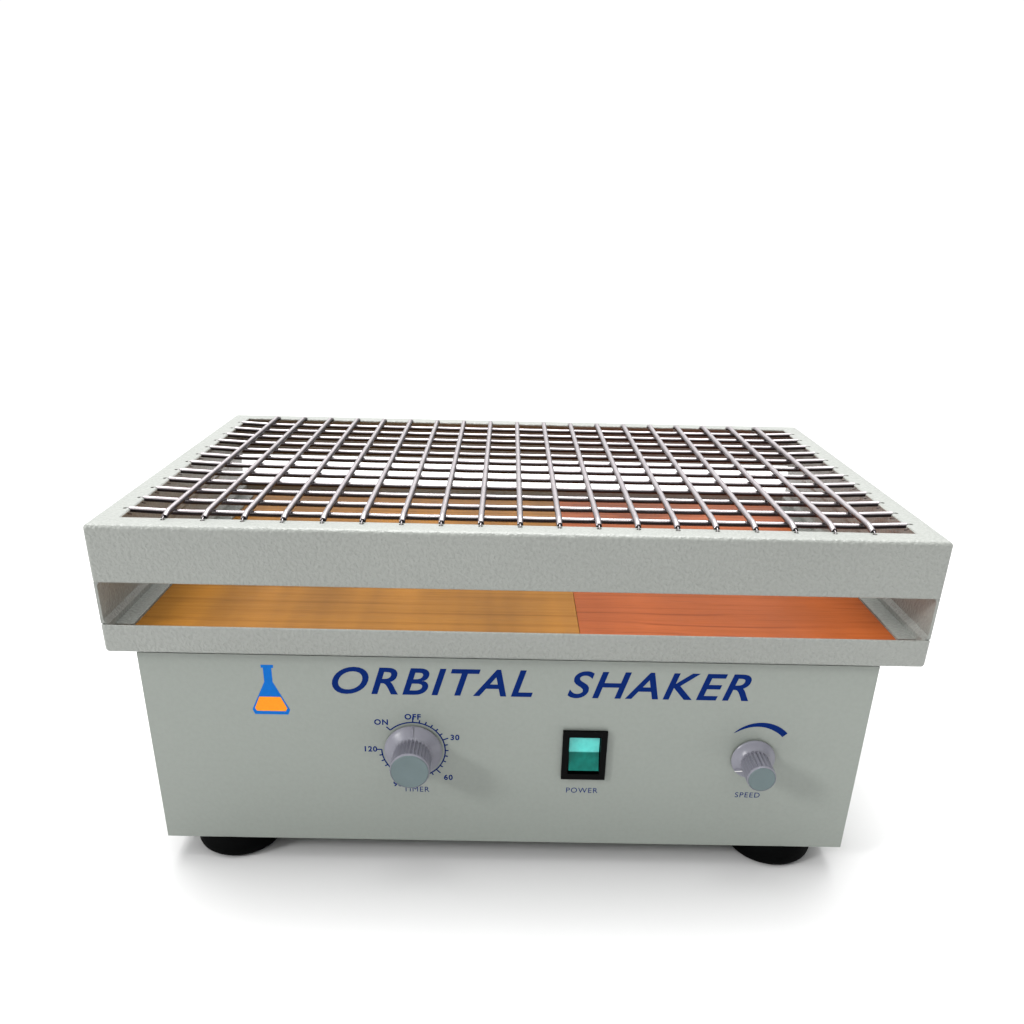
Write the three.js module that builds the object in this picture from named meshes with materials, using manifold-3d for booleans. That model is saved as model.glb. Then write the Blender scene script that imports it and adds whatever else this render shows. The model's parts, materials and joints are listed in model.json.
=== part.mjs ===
// Orbital shaker with a sprung wire-grid tray: a sheet-metal tray that circles
// on one driven crank and four idler cranks above a flat control cabinet.
// Units are millimetres, +Z is up and the front panel faces -Y.
// The origin is on the bench, under the middle of the machine's outline.
import * as THREE from 'three';
import Module from 'manifold-3d';
import { mergeVertices } from 'three/addons/utils/BufferGeometryUtils.js';

const wasm = await Module();
wasm.setup();

// ---------------------------------------------------------------- dimensions
const TRAY_WIDTH = 440;
const TRAY_DEPTH = 283;
const TRAY_TOP = 212; // height of the grid flange above the bench
const TRAY_Y = 7.5; // middle of the tray, which sets the front and rear of the outline
const SHEET = 1.5; // steel sheet of the tray and the cabinet
const GAP = 0.3; // between faces that touch on the machine
const FLANGE = 14; // width of the rim around the grid
const APRON = 31; // height of the skirt below the rim
const SLOT = 24; // open slot between the skirt and the lip
const LIP = 16; // height of the lip of the tray pan

const ORBIT_RADIUS = 10;
const REST_ANGLE = THREE.MathUtils.degToRad(68); // where the cranks stand at rest

const SPRING_PITCH = 20.33;
const SPRING_WIDTH = 3.4;
const LONG_SPRINGS = 19; // run from front to rear
const CROSS_SPRINGS = 12; // run from side to side
const HOOK_HOLE_RADIUS = 1.3;
const HOOK_INSET = 2.8; // from the edge of the rim to the middle of a hook hole

const BOARD_THICKNESS = 9.5;
const BOARD_EDGE = TRAY_WIDTH / 2 - SHEET - 2 * GAP; // half the width that the two boards cover
const LEDGE_EDGE = 206.9; // inner edge of the ledges that hold the boards down
const REBATE = 0.8; // depth that each ledge is let into its board
const LEDGE_SETBACK = 9; // from the end of a side plate to the end of its ledge
const BOARD_SEAM_X = 34;

const BASE_WIDTH = 406;
const BASE_DEPTH = 248.6;
const BASE_BOTTOM = 15.3;
const BASE_TOP = 137.6;
const FOOT_RADIUS = 26;
const FOOT_X = 166;
const FOOT_Y = 100.7;

const PLATE_TOP = 96; // upper face of the plate that carries the mechanism
const PLATE_THICKNESS = 4;
const PULLEY_BOTTOM = 104;
const PULLEY_HEIGHT = 12;
const CRANK_PULLEY_RADIUS = 55; // at the bottom of the belt groove
const MOTOR_PULLEY_RADIUS = 15;
const MOTOR_X = -105;
const IDLER_X = 160;
const IDLER_Y = 56;
const IDLER_RADIUS = 22;

const DRIVE_STUD_RADIUS = 6;
const IDLER_STUD_RADIUS = 4;
const STUD_PLAY = 0.6; // around a stud in its crank
const DRIVE_SHAFT_RADIUS = 7.5;
const IDLER_SHAFT_RADIUS = 5;
const SHAFT_PLAY = 0.4; // around a turning shaft

const TIMER = { x: -54, z: 78.8, skirt: 16.5, grip: 13.2, cap: 11.4, reach: 23 };
const SPEED = { x: 141, z: 77.5, skirt: 12.5, grip: 10, cap: 8.4, reach: 22.4 };
const KNOB_SHAFT_RADIUS = 3;
const SWITCH = { x: 43.8, z: 78.1, width: 25.4, height: 31.8 };
const ROCKER_WIDTH = 17.2;
const ROCKER_HALF_HEIGHT = 10.8;
const ROCKER_TILT = THREE.MathUtils.degToRad(10);
const INLET = { x: -140, z: 62 };

const BASE_X = -ORBIT_RADIUS * Math.cos(REST_ANGLE);
const BASE_Y = TRAY_Y - ORBIT_RADIUS * Math.sin(REST_ANGLE);
const TRAY_FLOOR = TRAY_TOP - APRON - SLOT - LIP; // underside of the pan
const FRONT = -BASE_DEPTH / 2; // outer face of the control panel, in the cabinet's frame
const REAR = BASE_DEPTH / 2;
const IDLERS = {
  front_left: [-IDLER_X, -IDLER_Y],
  front_right: [IDLER_X, -IDLER_Y],
  rear_left: [-IDLER_X, IDLER_Y],
  rear_right: [IDLER_X, IDLER_Y],
};

// ------------------------------------------------------------------ materials
const finish = (color, roughness, metalness) =>
  new THREE.MeshStandardMaterial({ color, roughness, metalness });
const paintTray = finish(0xd5d9d2, 0.55, 0.1);
const paintBase = finish(0xb3b9af, 0.5, 0.1);
const springSteel = finish(0xa8a3a0, 0.3, 1);
const woodOak = finish(0xc9925a, 0.6, 0);
const woodRed = finish(0xc47a52, 0.6, 0);
const rubber = finish(0x15161a, 0.75, 0);
const steel = finish(0x9a9c9e, 0.35, 1);
const castAlloy = finish(0x8f9294, 0.5, 0.9);
const blackPlastic = finish(0x121314, 0.45, 0);
const greenPlastic = finish(0x1fae90, 0.3, 0);
const greyPlastic = finish(0x9a9aa2, 0.5, 0);
const capPlastic = finish(0x84918f, 0.45, 0);
const beltRubber = finish(0x1c1c1c, 0.8, 0);
const boardGreen = finish(0x1f6b3c, 0.5, 0);

// -------------------------------------------------------------------- helpers
function box(x0, x1, y0, y1, z0, z1) {
  const geometry = new THREE.BoxGeometry(x1 - x0, y1 - y0, z1 - z0);
  return geometry.translate((x0 + x1) / 2, (y0 + y1) / 2, (z0 + z1) / 2);
}

// A body of revolution about Z from [radius, height] points that close on themselves
// or start and end on the axis.
function turned(points, segments) {
  const profile = points.map(([radius, height]) => new THREE.Vector2(radius, height));
  return new THREE.LatheGeometry(profile, segments).rotateX(Math.PI / 2);
}

function rod(radius, z0, z1, segments, x = 0, y = 0) {
  return turned([[0, z0], [radius, z0], [radius, z1], [0, z1]], segments).translate(x, y, 0);
}

function ring(inner, outer, z0, z1, segments) {
  return turned([[inner, z0], [outer, z0], [outer, z1], [inner, z1], [inner, z0]], segments);
}

function solid(geometry) {
  const bare = geometry.clone();
  bare.deleteAttribute('normal');
  bare.deleteAttribute('uv');
  const welded = mergeVertices(bare, 1e-4);
  const mesh = new wasm.Mesh({
    numProp: 3,
    vertProperties: new Float32Array(welded.attributes.position.array),
    triVerts: new Uint32Array(welded.index.array),
  });
  return new wasm.Manifold(mesh);
}

function toGeometry(manifold) {
  const mesh = manifold.getMesh();
  const geometry = new THREE.BufferGeometry();
  geometry.setAttribute('position', new THREE.BufferAttribute(mesh.vertProperties, 3));
  geometry.setIndex(new THREE.BufferAttribute(mesh.triVerts, 1));
  geometry.computeVertexNormals();
  return geometry;
}

// The first shape with the added shapes joined and then the cut shapes removed.
function shaped(first, { add = [], cut = [] }) {
  let body = solid(first);
  for (const piece of add) body = body.add(solid(piece));
  for (const piece of cut) body = body.subtract(solid(piece));
  return toGeometry(body);
}

function place(parent, name, geometry, material) {
  const mesh = new THREE.Mesh(geometry, material);
  mesh.name = name;
  parent.add(mesh);
  return mesh;
}

// Positions of evenly spaced rows, centred on zero.
const spread = (count, pitch) =>
  Array.from({ length: count }, (_, index) => (index - (count - 1) / 2) * pitch);

// ----------------------------------------------------------------------- tray
function gridFrame() {
  const halfX = TRAY_WIDTH / 2;
  const halfY = TRAY_DEPTH / 2;
  const low = TRAY_TOP - APRON;
  const openX = halfX - FLANGE;
  const openY = halfY - FLANGE;
  const cavity = box(-halfX + SHEET, halfX - SHEET, -halfY + SHEET, halfY - SHEET, low - 1, TRAY_TOP - SHEET);
  const opening = box(-openX, openX, -openY, openY, low, TRAY_TOP + 1);
  const holes = [];
  const hole = (x, y) => holes.push(rod(HOOK_HOLE_RADIUS, TRAY_TOP - SHEET - 1, TRAY_TOP + 1, 6, x, y));
  for (const side of [-1, 1]) {
    for (const x of spread(LONG_SPRINGS, SPRING_PITCH)) hole(x, side * (openY + HOOK_INSET));
    for (const y of spread(CROSS_SPRINGS, SPRING_PITCH)) hole(side * (openX + HOOK_INSET), y);
  }
  return shaped(box(-halfX, halfX, -halfY, halfY, low, TRAY_TOP), { cut: [cavity, opening, ...holes] });
}

// The crossing springs as one flat grille of square bars, level with the rim.
// It is a lattice of strips in which every odd strip is a bar and the rest are open.
function springGrid() {
  const half = SPRING_WIDTH / 2;
  const top = TRAY_TOP - SHEET / 2;
  const levels = [top - 4, top];
  const strips = (count, end) =>
    [-end, ...spread(count, SPRING_PITCH).flatMap((bar) => [bar - half, bar + half]), end];
  const xs = strips(LONG_SPRINGS, TRAY_WIDTH / 2 - FLANGE - 0.5);
  const ys = strips(CROSS_SPRINGS, TRAY_DEPTH / 2 - FLANGE - 0.5);
  const positions = xs.flatMap((x) => ys.flatMap((y) => levels.flatMap((z) => [x, y, z])));
  const corner = (i, j, level) => (i * ys.length + j) * 2 + level;
  const inside = (i, j) => i >= 0 && j >= 0 && i < xs.length - 1 && j < ys.length - 1;
  const filled = (i, j) => inside(i, j) && (i % 2 === 1 || j % 2 === 1);
  const indices = [];
  const quad = (a, b, c, d) => indices.push(a, b, c, a, c, d);
  const wall = ([i, j], [k, l]) => quad(corner(i, j, 0), corner(k, l, 0), corner(k, l, 1), corner(i, j, 1));
  for (let i = 0; i < xs.length - 1; i += 1) {
    for (let j = 0; j < ys.length - 1; j += 1) {
      if (!filled(i, j)) continue;
      quad(corner(i, j, 1), corner(i + 1, j, 1), corner(i + 1, j + 1, 1), corner(i, j + 1, 1));
      quad(corner(i, j, 0), corner(i, j + 1, 0), corner(i + 1, j + 1, 0), corner(i + 1, j, 0));
      if (!filled(i, j - 1)) wall([i, j], [i + 1, j]);
      if (!filled(i + 1, j)) wall([i + 1, j], [i + 1, j + 1]);
      if (!filled(i, j + 1)) wall([i + 1, j + 1], [i, j + 1]);
      if (!filled(i - 1, j)) wall([i, j + 1], [i, j]);
    }
  }
  const geometry = new THREE.BufferGeometry();
  geometry.setAttribute('position', new THREE.Float32BufferAttribute(positions, 3));
  geometry.setIndex(indices);
  geometry.computeVertexNormals();
  return geometry;
}

// A wall flush with the skirt and the lip. It steps in behind both of them and
// folds over the ends of the boards.
function sidePlate(side) {
  const flush = TRAY_WIDTH / 2;
  const behind = flush - SHEET - GAP;
  const top = TRAY_TOP - SHEET - GAP;
  const slotTop = TRAY_TOP - APRON - GAP;
  const slotBottom = TRAY_FLOOR + LIP + GAP;
  const ledge = TRAY_FLOOR + SHEET + BOARD_THICKNESS - REBATE + 2 * GAP;
  const step = 2;
  const profile = [
    [flush, slotTop], [behind, slotTop], [behind, top], [behind - SHEET, top],
    [behind - SHEET, slotTop + step / 2], [flush - SHEET, slotTop - step], [flush - SHEET, slotBottom + step],
    [behind - SHEET, slotBottom - step / 2], [behind - SHEET, ledge + SHEET], [LEDGE_EDGE, ledge + SHEET],
    [LEDGE_EDGE, ledge], [behind, ledge], [behind, slotBottom], [flush, slotBottom],
  ];
  const shape = new THREE.Shape(profile.map(([x, z]) => new THREE.Vector2(x, z)));
  const length = TRAY_DEPTH - 2 * (SHEET + GAP);
  const wall = new THREE.ExtrudeGeometry(shape, { depth: length, bevelEnabled: false });
  wall.rotateX(Math.PI / 2).translate(0, length / 2, 0);
  const notches = [-1, 1].map((end) => {
    const [y0, y1] = [length / 2 - LEDGE_SETBACK, length / 2 + 1].map((y) => end * y);
    return box(LEDGE_EDGE - 1, behind - SHEET, Math.min(y0, y1), Math.max(y0, y1), ledge - 1, ledge + SHEET + 1);
  });
  const plate = shaped(wall, { cut: notches });
  return side > 0 ? plate : plate.rotateZ(Math.PI);
}

function trayPan() {
  const halfX = TRAY_WIDTH / 2;
  const halfY = TRAY_DEPTH / 2;
  const top = TRAY_FLOOR + LIP;
  const cavity = box(-halfX + SHEET, halfX - SHEET, -halfY + SHEET, halfY - SHEET, TRAY_FLOOR + SHEET, top + 1);
  return shaped(box(-halfX, halfX, -halfY, halfY, TRAY_FLOOR, top), { cut: [cavity] });
}

// A board from its seam to its end, which is rebated for the ledge.
function woodBoard(seam, end) {
  const halfY = TRAY_DEPTH / 2 - SHEET - 2 * GAP;
  const low = TRAY_FLOOR + SHEET + GAP;
  const top = low + BOARD_THICKNESS;
  const rebateEdge = Math.sign(end) * (LEDGE_EDGE - GAP);
  const plank = (x0, x1, z1) => box(Math.min(x0, x1), Math.max(x0, x1), -halfY, halfY, low, z1);
  return shaped(plank(seam, end, top - REBATE), { add: [plank(seam, rebateEdge, top)] });
}

// A stud welded under the pan, reaching down into its crank.
function trayStud(radius, reach, segments) {
  const top = TRAY_FLOOR - GAP;
  const flange = 1.5;
  const points = [[0, top - reach], [radius, top - reach], [radius, top - flange], [radius * 2, top - flange]];
  return turned([...points, [radius * 2, top], [0, top]], segments);
}

function buildTray() {
  const tray = new THREE.Group();
  tray.position.set(0, TRAY_Y, 0);
  place(tray, 'grid_frame', gridFrame(), paintTray);
  place(tray, 'spring_grid', springGrid(), springSteel);
  place(tray, 'side_plate_left', sidePlate(-1), paintTray);
  place(tray, 'side_plate_right', sidePlate(1), paintTray);
  place(tray, 'tray_pan', trayPan(), paintTray);
  place(tray, 'board_left', woodBoard(BOARD_SEAM_X - GAP / 2, -BOARD_EDGE), woodOak);
  place(tray, 'board_right', woodBoard(BOARD_SEAM_X + GAP / 2, BOARD_EDGE), woodRed);
  const studReach = TRAY_FLOOR - GAP - PULLEY_BOTTOM - 4.5;
  place(tray, 'drive_stud', trayStud(DRIVE_STUD_RADIUS, studReach, 16), steel);
  for (const [corner, [x, y]] of Object.entries(IDLERS)) {
    place(tray, `idler_stud_${corner}`, trayStud(IDLER_STUD_RADIUS, studReach, 12), steel).position.set(x, y, 0);
  }
  return tray;
}

// -------------------------------------------------------------------- cabinet
function baseCase() {
  const halfX = BASE_WIDTH / 2;
  const through = 3;
  const inside = box(-halfX + SHEET, halfX - SHEET, FRONT + SHEET, REAR - SHEET, BASE_BOTTOM - 1, BASE_TOP - SHEET);
  const roofHole = (radius, x, y) => rod(radius, BASE_TOP - through, BASE_TOP + 1, 16, x, y);
  const panelHole = ({ x, z }, radius) =>
    rod(radius, -through, through, 14).rotateX(Math.PI / 2).translate(x, FRONT + SHEET / 2, z);
  const swing = ORBIT_RADIUS + 5;
  const cuts = [
    inside,
    roofHole(DRIVE_STUD_RADIUS + swing, 0, 0),
    ...Object.values(IDLERS).map(([x, y]) => roofHole(IDLER_STUD_RADIUS + swing, x, y)),
    panelHole(TIMER, 5.6),
    panelHole(SPEED, 5.1),
    box(SWITCH.x - 11.2, SWITCH.x + 11.2, FRONT - 1, FRONT + through, SWITCH.z - 14.2, SWITCH.z + 14.2),
    box(INLET.x - 14.3, INLET.x + 14.3, REAR - through, REAR + 1, INLET.z - 22.3, INLET.z + 22.3),
  ];
  for (const x of spread(9, 12)) cuts.push(box(60 + x, 63 + x, REAR - through, REAR + 1, 48, 84));
  return shaped(box(-halfX, halfX, FRONT, REAR, BASE_BOTTOM, BASE_TOP), { cut: cuts });
}

function bottomPlate() {
  const halfX = BASE_WIDTH / 2 - SHEET - GAP;
  const halfY = BASE_DEPTH / 2 - SHEET - GAP;
  const holes = [];
  for (const x of [-FOOT_X, FOOT_X]) {
    for (const y of [-FOOT_Y, FOOT_Y]) holes.push(rod(2.7, BASE_BOTTOM - 1, BASE_BOTTOM + 3, 8, x, y));
  }
  const plate = box(-halfX, halfX, -halfY, halfY, BASE_BOTTOM, BASE_BOTTOM + SHEET);
  return shaped(plate, { cut: holes });
}

// A domed rubber foot with a counterbored hole for its screw.
function foot() {
  const top = BASE_BOTTOM - GAP;
  return turned([
    [5.2, 0], [17, 0], [21.5, 2.6], [24.2, 7], [FOOT_RADIUS, 12], [FOOT_RADIUS - 1, top],
    [2.7, top], [2.7, 8], [5.2, 8], [5.2, 0],
  ], 18);
}

function footScrew() {
  return turned([[0, 4.6], [4.5, 4.6], [4.5, 7.7], [2.3, 7.7], [2.3, 22], [0, 22]], 8);
}

function mechanismPlate() {
  const halfX = BASE_WIDTH / 2 - SHEET - GAP;
  const low = PLATE_TOP - PLATE_THICKNESS;
  const fold = 3;
  const hang = 24;
  const [front, rear] = [-80, 112];
  const cheeks = [-1, 1].map((side) =>
    box(Math.min(side * halfX, side * (halfX - fold)), Math.max(side * halfX, side * (halfX - fold)),
      front, rear, low - hang, PLATE_TOP));
  const hole = (radius, x, y) => rod(radius, low - 1, PLATE_TOP + 1, 16, x, y);
  const cuts = [hole(23, 0, 0), hole(9, MOTOR_X, 0)];
  for (const [x, y] of Object.values(IDLERS)) cuts.push(hole(13, x, y));
  return shaped(box(-halfX, halfX, front, rear, low, PLATE_TOP), { add: cheeks, cut: cuts });
}

// ------------------------------------------------------------------ mechanism
const PLATE_SEAT = PLATE_TOP + GAP;
const PULLEY_TOP = PULLEY_BOTTOM + PULLEY_HEIGHT;
const RIM = 1.5; // thickness of a pulley's guard rims
const BEARING_HEIGHT = 10;
const BEARING_RADIUS = 16;

function driveBearingHousing() {
  const bore = DRIVE_SHAFT_RADIUS + 4;
  const seat = BEARING_RADIUS + GAP;
  const [low, top] = [58, PLATE_SEAT + 5];
  return turned([
    [seat, low], [22, low], [22, PLATE_SEAT], [35, PLATE_SEAT], [35, top],
    [seat, top], [seat, top - BEARING_HEIGHT], [bore, top - BEARING_HEIGHT],
    [bore, low + BEARING_HEIGHT], [seat, low + BEARING_HEIGHT], [seat, low],
  ], 22);
}

const driveBearing = (z) =>
  ring(DRIVE_SHAFT_RADIUS + SHAFT_PLAY, BEARING_RADIUS, z + GAP, z + BEARING_HEIGHT - GAP, 24);

function driveShaft() {
  const top = PULLEY_BOTTOM - GAP;
  return turned([
    [0, 55], [DRIVE_SHAFT_RADIUS, 55], [DRIVE_SHAFT_RADIUS, top - 2], [18, top - 2], [18, top], [0, top],
  ], 24);
}

function pulleyProfile(radius) {
  return [
    [0, PULLEY_BOTTOM], [radius + 3, PULLEY_BOTTOM], [radius + 3, PULLEY_BOTTOM + RIM],
    [radius, PULLEY_BOTTOM + RIM], [radius, PULLEY_TOP - RIM], [radius + 3, PULLEY_TOP - RIM],
    [radius + 3, PULLEY_TOP], [0, PULLEY_TOP],
  ];
}

const ECCENTRIC_SEAT = 14.3; // radius of the seat of the eccentric bearing

function crankPulley() {
  const seat = rod(ECCENTRIC_SEAT, PULLEY_BOTTOM + 3, PULLEY_TOP + 1, 24, ORBIT_RADIUS, 0);
  return shaped(turned(pulleyProfile(CRANK_PULLEY_RADIUS), 36), { cut: [seat] });
}

function eccentricBearing() {
  const inner = DRIVE_STUD_RADIUS + STUD_PLAY;
  return ring(inner, ECCENTRIC_SEAT - GAP, PULLEY_BOTTOM + 3 + GAP, PULLEY_TOP - GAP, 24)
    .translate(ORBIT_RADIUS, 0, 0);
}

// A segment of plate on top of the pulley, on the far side from the eccentric.
function counterweight() {
  const half = THREE.MathUtils.degToRad(70);
  const shape = new THREE.Shape();
  shape.absarc(0, 0, 51, Math.PI - half, Math.PI + half, false);
  shape.absarc(0, 0, 25, Math.PI + half, Math.PI - half, true);
  const plate = new THREE.ExtrudeGeometry(shape, { depth: 12, bevelEnabled: false, curveSegments: 14 });
  return plate.translate(0, 0, PULLEY_TOP + GAP);
}

function motorPulley() {
  const bore = rod(4 + GAP, PULLEY_BOTTOM - 1, PULLEY_TOP + 1, 16);
  return shaped(turned(pulleyProfile(MOTOR_PULLEY_RADIUS), 20), { cut: [bore] });
}

const motorShaft = () => rod(4, 62, PULLEY_TOP + 2, 16);

function motorCan() {
  const top = PLATE_TOP - PLATE_THICKNESS - GAP - 4 - GAP;
  return turned([
    [0, 20], [29, 20], [34, 23], [34, top - 3], [31, top], [4.8, top], [4.8, 60], [0, 60],
  ], 24);
}

function motorFlange() {
  const top = PLATE_TOP - PLATE_THICKNESS - GAP;
  return shaped(box(-38, 38, -38, 38, top - 4, top), { cut: [rod(7, top - 5, top + 1, 20)] });
}

// The belt's loop around both pulleys, at a given distance outside their grooves.
function beltLoop(clear) {
  const distance = -MOTOR_X;
  const lean = Math.acos((CRANK_PULLEY_RADIUS - MOTOR_PULLEY_RADIUS) / distance);
  const loop = new THREE.Path();
  loop.absarc(0, 0, CRANK_PULLEY_RADIUS + clear, -Math.PI + lean, Math.PI - lean, false);
  loop.absarc(MOTOR_X, 0, MOTOR_PULLEY_RADIUS + clear, Math.PI - lean, Math.PI + lean, false);
  return loop.getSpacedPoints(44);
}

function driveBelt() {
  const clear = 0.6;
  const thickness = 2;
  const shape = new THREE.Shape(beltLoop(clear + thickness));
  shape.holes.push(new THREE.Path(beltLoop(clear)));
  const height = PULLEY_HEIGHT - 2 * RIM - 1;
  const band = new THREE.ExtrudeGeometry(shape, { depth: height, bevelEnabled: false });
  return band.translate(0, 0, PULLEY_BOTTOM + RIM + 0.5);
}

function idlerBearing() {
  const bore = IDLER_SHAFT_RADIUS + SHAFT_PLAY;
  return turned([
    [bore, 78], [12, 78], [12, PLATE_SEAT], [20, PLATE_SEAT], [20, PLATE_SEAT + 5],
    [bore, PLATE_SEAT + 5], [bore, 78],
  ], 14);
}

function idlerCrank() {
  const disc = turned([
    [0, 75], [IDLER_SHAFT_RADIUS, 75], [IDLER_SHAFT_RADIUS, PULLEY_BOTTOM], [IDLER_RADIUS, PULLEY_BOTTOM],
    [IDLER_RADIUS, PULLEY_TOP], [0, PULLEY_TOP],
  ], 18);
  const socket = rod(IDLER_STUD_RADIUS + STUD_PLAY, PULLEY_BOTTOM + 3, PULLEY_TOP + 1, 14, ORBIT_RADIUS, 0);
  return shaped(disc, { cut: [socket] });
}

function buildMechanism(base) {
  place(base, 'mechanism_plate', mechanismPlate(), steel);
  place(base, 'drive_bearing_housing', driveBearingHousing(), castAlloy);
  place(base, 'drive_bearing_lower', driveBearing(58), steel);
  place(base, 'drive_bearing_upper', driveBearing(PLATE_SEAT + 5 - BEARING_HEIGHT), steel);
  place(base, 'drive_belt', driveBelt(), beltRubber);
  place(base, 'drive_shaft', driveShaft(), steel);

  const crank = new THREE.Group();
  crank.rotation.z = REST_ANGLE;
  base.add(crank);
  place(crank, 'crank_pulley', crankPulley(), castAlloy);
  place(crank, 'eccentric_bearing', eccentricBearing(), steel);
  place(crank, 'counterweight', counterweight(), steel);

  const motor = new THREE.Group();
  motor.position.x = MOTOR_X;
  base.add(motor);
  place(motor, 'motor_can', motorCan(), blackPlastic);
  place(motor, 'motor_flange', motorFlange(), steel);
  place(motor, 'motor_shaft', motorShaft(), steel);
  place(motor, 'motor_pulley', motorPulley(), castAlloy);

  for (const [corner, [x, y]] of Object.entries(IDLERS)) {
    place(base, `idler_bearing_${corner}`, idlerBearing(), castAlloy).position.set(x, y, 0);
    const idler = place(base, `idler_crank_${corner}`, idlerCrank(), steel);
    idler.position.set(x, y, 0);
    idler.rotation.z = REST_ANGLE;
  }
}

// ------------------------------------------------------------------- controls
// A knob built along +Z from the panel: a flared skirt, a fluted grip and a hollow for its cap.
function knob({ skirt, grip, cap, reach }) {
  const flutes = 14;
  const capDepth = 1.5;
  const standOff = 0.8;
  const skirtTop = 6.5;
  const sections = [
    [standOff, skirt, 0], [standOff + 1.6, skirt, 0], [skirtTop, grip, 0],
    [skirtTop + 0.6, grip, 1], [reach - 2, cap + 0.4, 1], [reach - 1.4, cap, 0], [reach, cap, 0],
  ];
  const around = 2 * flutes;
  const positions = [];
  const indices = [];
  sections.forEach(([height, radius, fluted]) => {
    for (let step = 0; step < around; step += 1) {
      const angle = (step / around) * 2 * Math.PI;
      const size = radius - (step % 2) * fluted * 0.9;
      positions.push(size * Math.cos(angle), size * Math.sin(angle), height);
    }
  });
  const bottom = positions.push(0, 0, standOff) / 3 - 1;
  const top = positions.push(0, 0, reach) / 3 - 1;
  const lastRow = (sections.length - 1) * around;
  for (let step = 0; step < around; step += 1) {
    const next = (step + 1) % around;
    indices.push(bottom, next, step, top, lastRow + step, lastRow + next);
    for (let row = 0; row < lastRow; row += around) {
      indices.push(row + step, row + next, row + around + next);
      indices.push(row + step, row + around + next, row + around + step);
    }
  }
  const geometry = new THREE.BufferGeometry();
  geometry.setAttribute('position', new THREE.Float32BufferAttribute(positions, 3));
  geometry.setIndex(indices);
  return shaped(geometry, {
    cut: [
      rod(cap - 1, reach - capDepth, reach + 1, 20),
      rod(KNOB_SHAFT_RADIUS + GAP, 0, 14, 12),
    ],
  });
}

const knobCap = ({ cap, reach }) => rod(cap - 1 - GAP, reach - 1.5 + GAP, reach, 20);
const knobShaft = () => rod(KNOB_SHAFT_RADIUS, -20, 14 - GAP, 12);

// The bushing that holds a control in the panel, with its bore.
const bushing = (radius) => rod(radius, -SHEET - GAP - 1, 0.4, 14);
const shaftBore = () => rod(KNOB_SHAFT_RADIUS + SHAFT_PLAY, -22, 1, 12);

function timerUnit() {
  const front = -SHEET - GAP;
  return shaped(box(-23, 23, -25, 25, front - 38, front), { add: [bushing(5.2)], cut: [shaftBore()] });
}

function speedPotentiometer() {
  const front = -SHEET - GAP;
  const terminals = box(-8, 8, -20, -10, front - 8, front - 5);
  return shaped(rod(13, front - 24, front, 24), { add: [bushing(4.7), terminals], cut: [shaftBore()] });
}

// Seen in the cabinet's frame, with the hinge of the rocker as the origin.
const ROCKER_PIVOT = 6; // behind the outer face of the panel

function switchBody() {
  const face = -ROCKER_PIVOT;
  const halfWidth = SWITCH.width / 2;
  const halfHeight = SWITCH.height / 2;
  const bezel = box(-halfWidth, halfWidth, face - 2.4, face - GAP, -halfHeight, halfHeight);
  const housing = box(-10.9, 10.9, face - 1, face + 24, -13.9, 13.9);
  const mouth = ROCKER_WIDTH / 2 + 0.5;
  const well = box(-mouth, mouth, face - 4, face + 14, -12.2, 12.2);
  const blades = [-7, 0, 7].map((z) => box(-3, 3, face + 23, face + 33, z - 0.5, z + 0.5));
  return shaped(bezel, { add: [housing, ...blades], cut: [well] });
}

function powerRocker() {
  const valley = ROCKER_PIVOT - 0.6;
  const flare = valley + ROCKER_HALF_HEIGHT * Math.tan(ROCKER_TILT);
  const profile = [
    [-valley, 0], [-flare, ROCKER_HALF_HEIGHT], [1, ROCKER_HALF_HEIGHT - 2.5], [4, 3],
    [4, -3], [1, -ROCKER_HALF_HEIGHT + 2.5], [-flare, -ROCKER_HALF_HEIGHT],
  ];
  const shape = new THREE.Shape(profile.map(([y, z]) => new THREE.Vector2(y, z)));
  const block = new THREE.ExtrudeGeometry(shape, { depth: ROCKER_WIDTH, bevelEnabled: false });
  block.translate(0, 0, -ROCKER_WIDTH / 2);
  // The profile's first axis becomes Y and its second Z, so the width lies along X.
  return block.applyMatrix4(new THREE.Matrix4().makeBasis(
    new THREE.Vector3(0, 1, 0), new THREE.Vector3(0, 0, 1), new THREE.Vector3(1, 0, 0)));
}

function panelGroup(base, { x, z }) {
  const group = new THREE.Group();
  group.position.set(x, FRONT, z);
  group.rotation.x = Math.PI / 2;
  base.add(group);
  return group;
}

function buildControls(base) {
  const timer = panelGroup(base, TIMER);
  place(timer, 'timer_unit', timerUnit(), greyPlastic);
  place(timer, 'timer_shaft', knobShaft(), steel);
  place(timer, 'timer_knob', knob(TIMER), greyPlastic);
  place(timer, 'timer_knob_cap', knobCap(TIMER), capPlastic);

  const speed = panelGroup(base, SPEED);
  place(speed, 'speed_potentiometer', speedPotentiometer(), castAlloy);
  place(speed, 'speed_shaft', knobShaft(), steel);
  place(speed, 'speed_knob', knob(SPEED), greyPlastic);
  place(speed, 'speed_knob_cap', knobCap(SPEED), capPlastic);

  const power = new THREE.Group();
  power.position.set(SWITCH.x, FRONT + ROCKER_PIVOT, SWITCH.z);
  base.add(power);
  place(power, 'switch_body', switchBody(), blackPlastic);
  place(power, 'power_rocker', powerRocker(), greenPlastic).rotation.x = -ROCKER_TILT;
}

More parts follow.
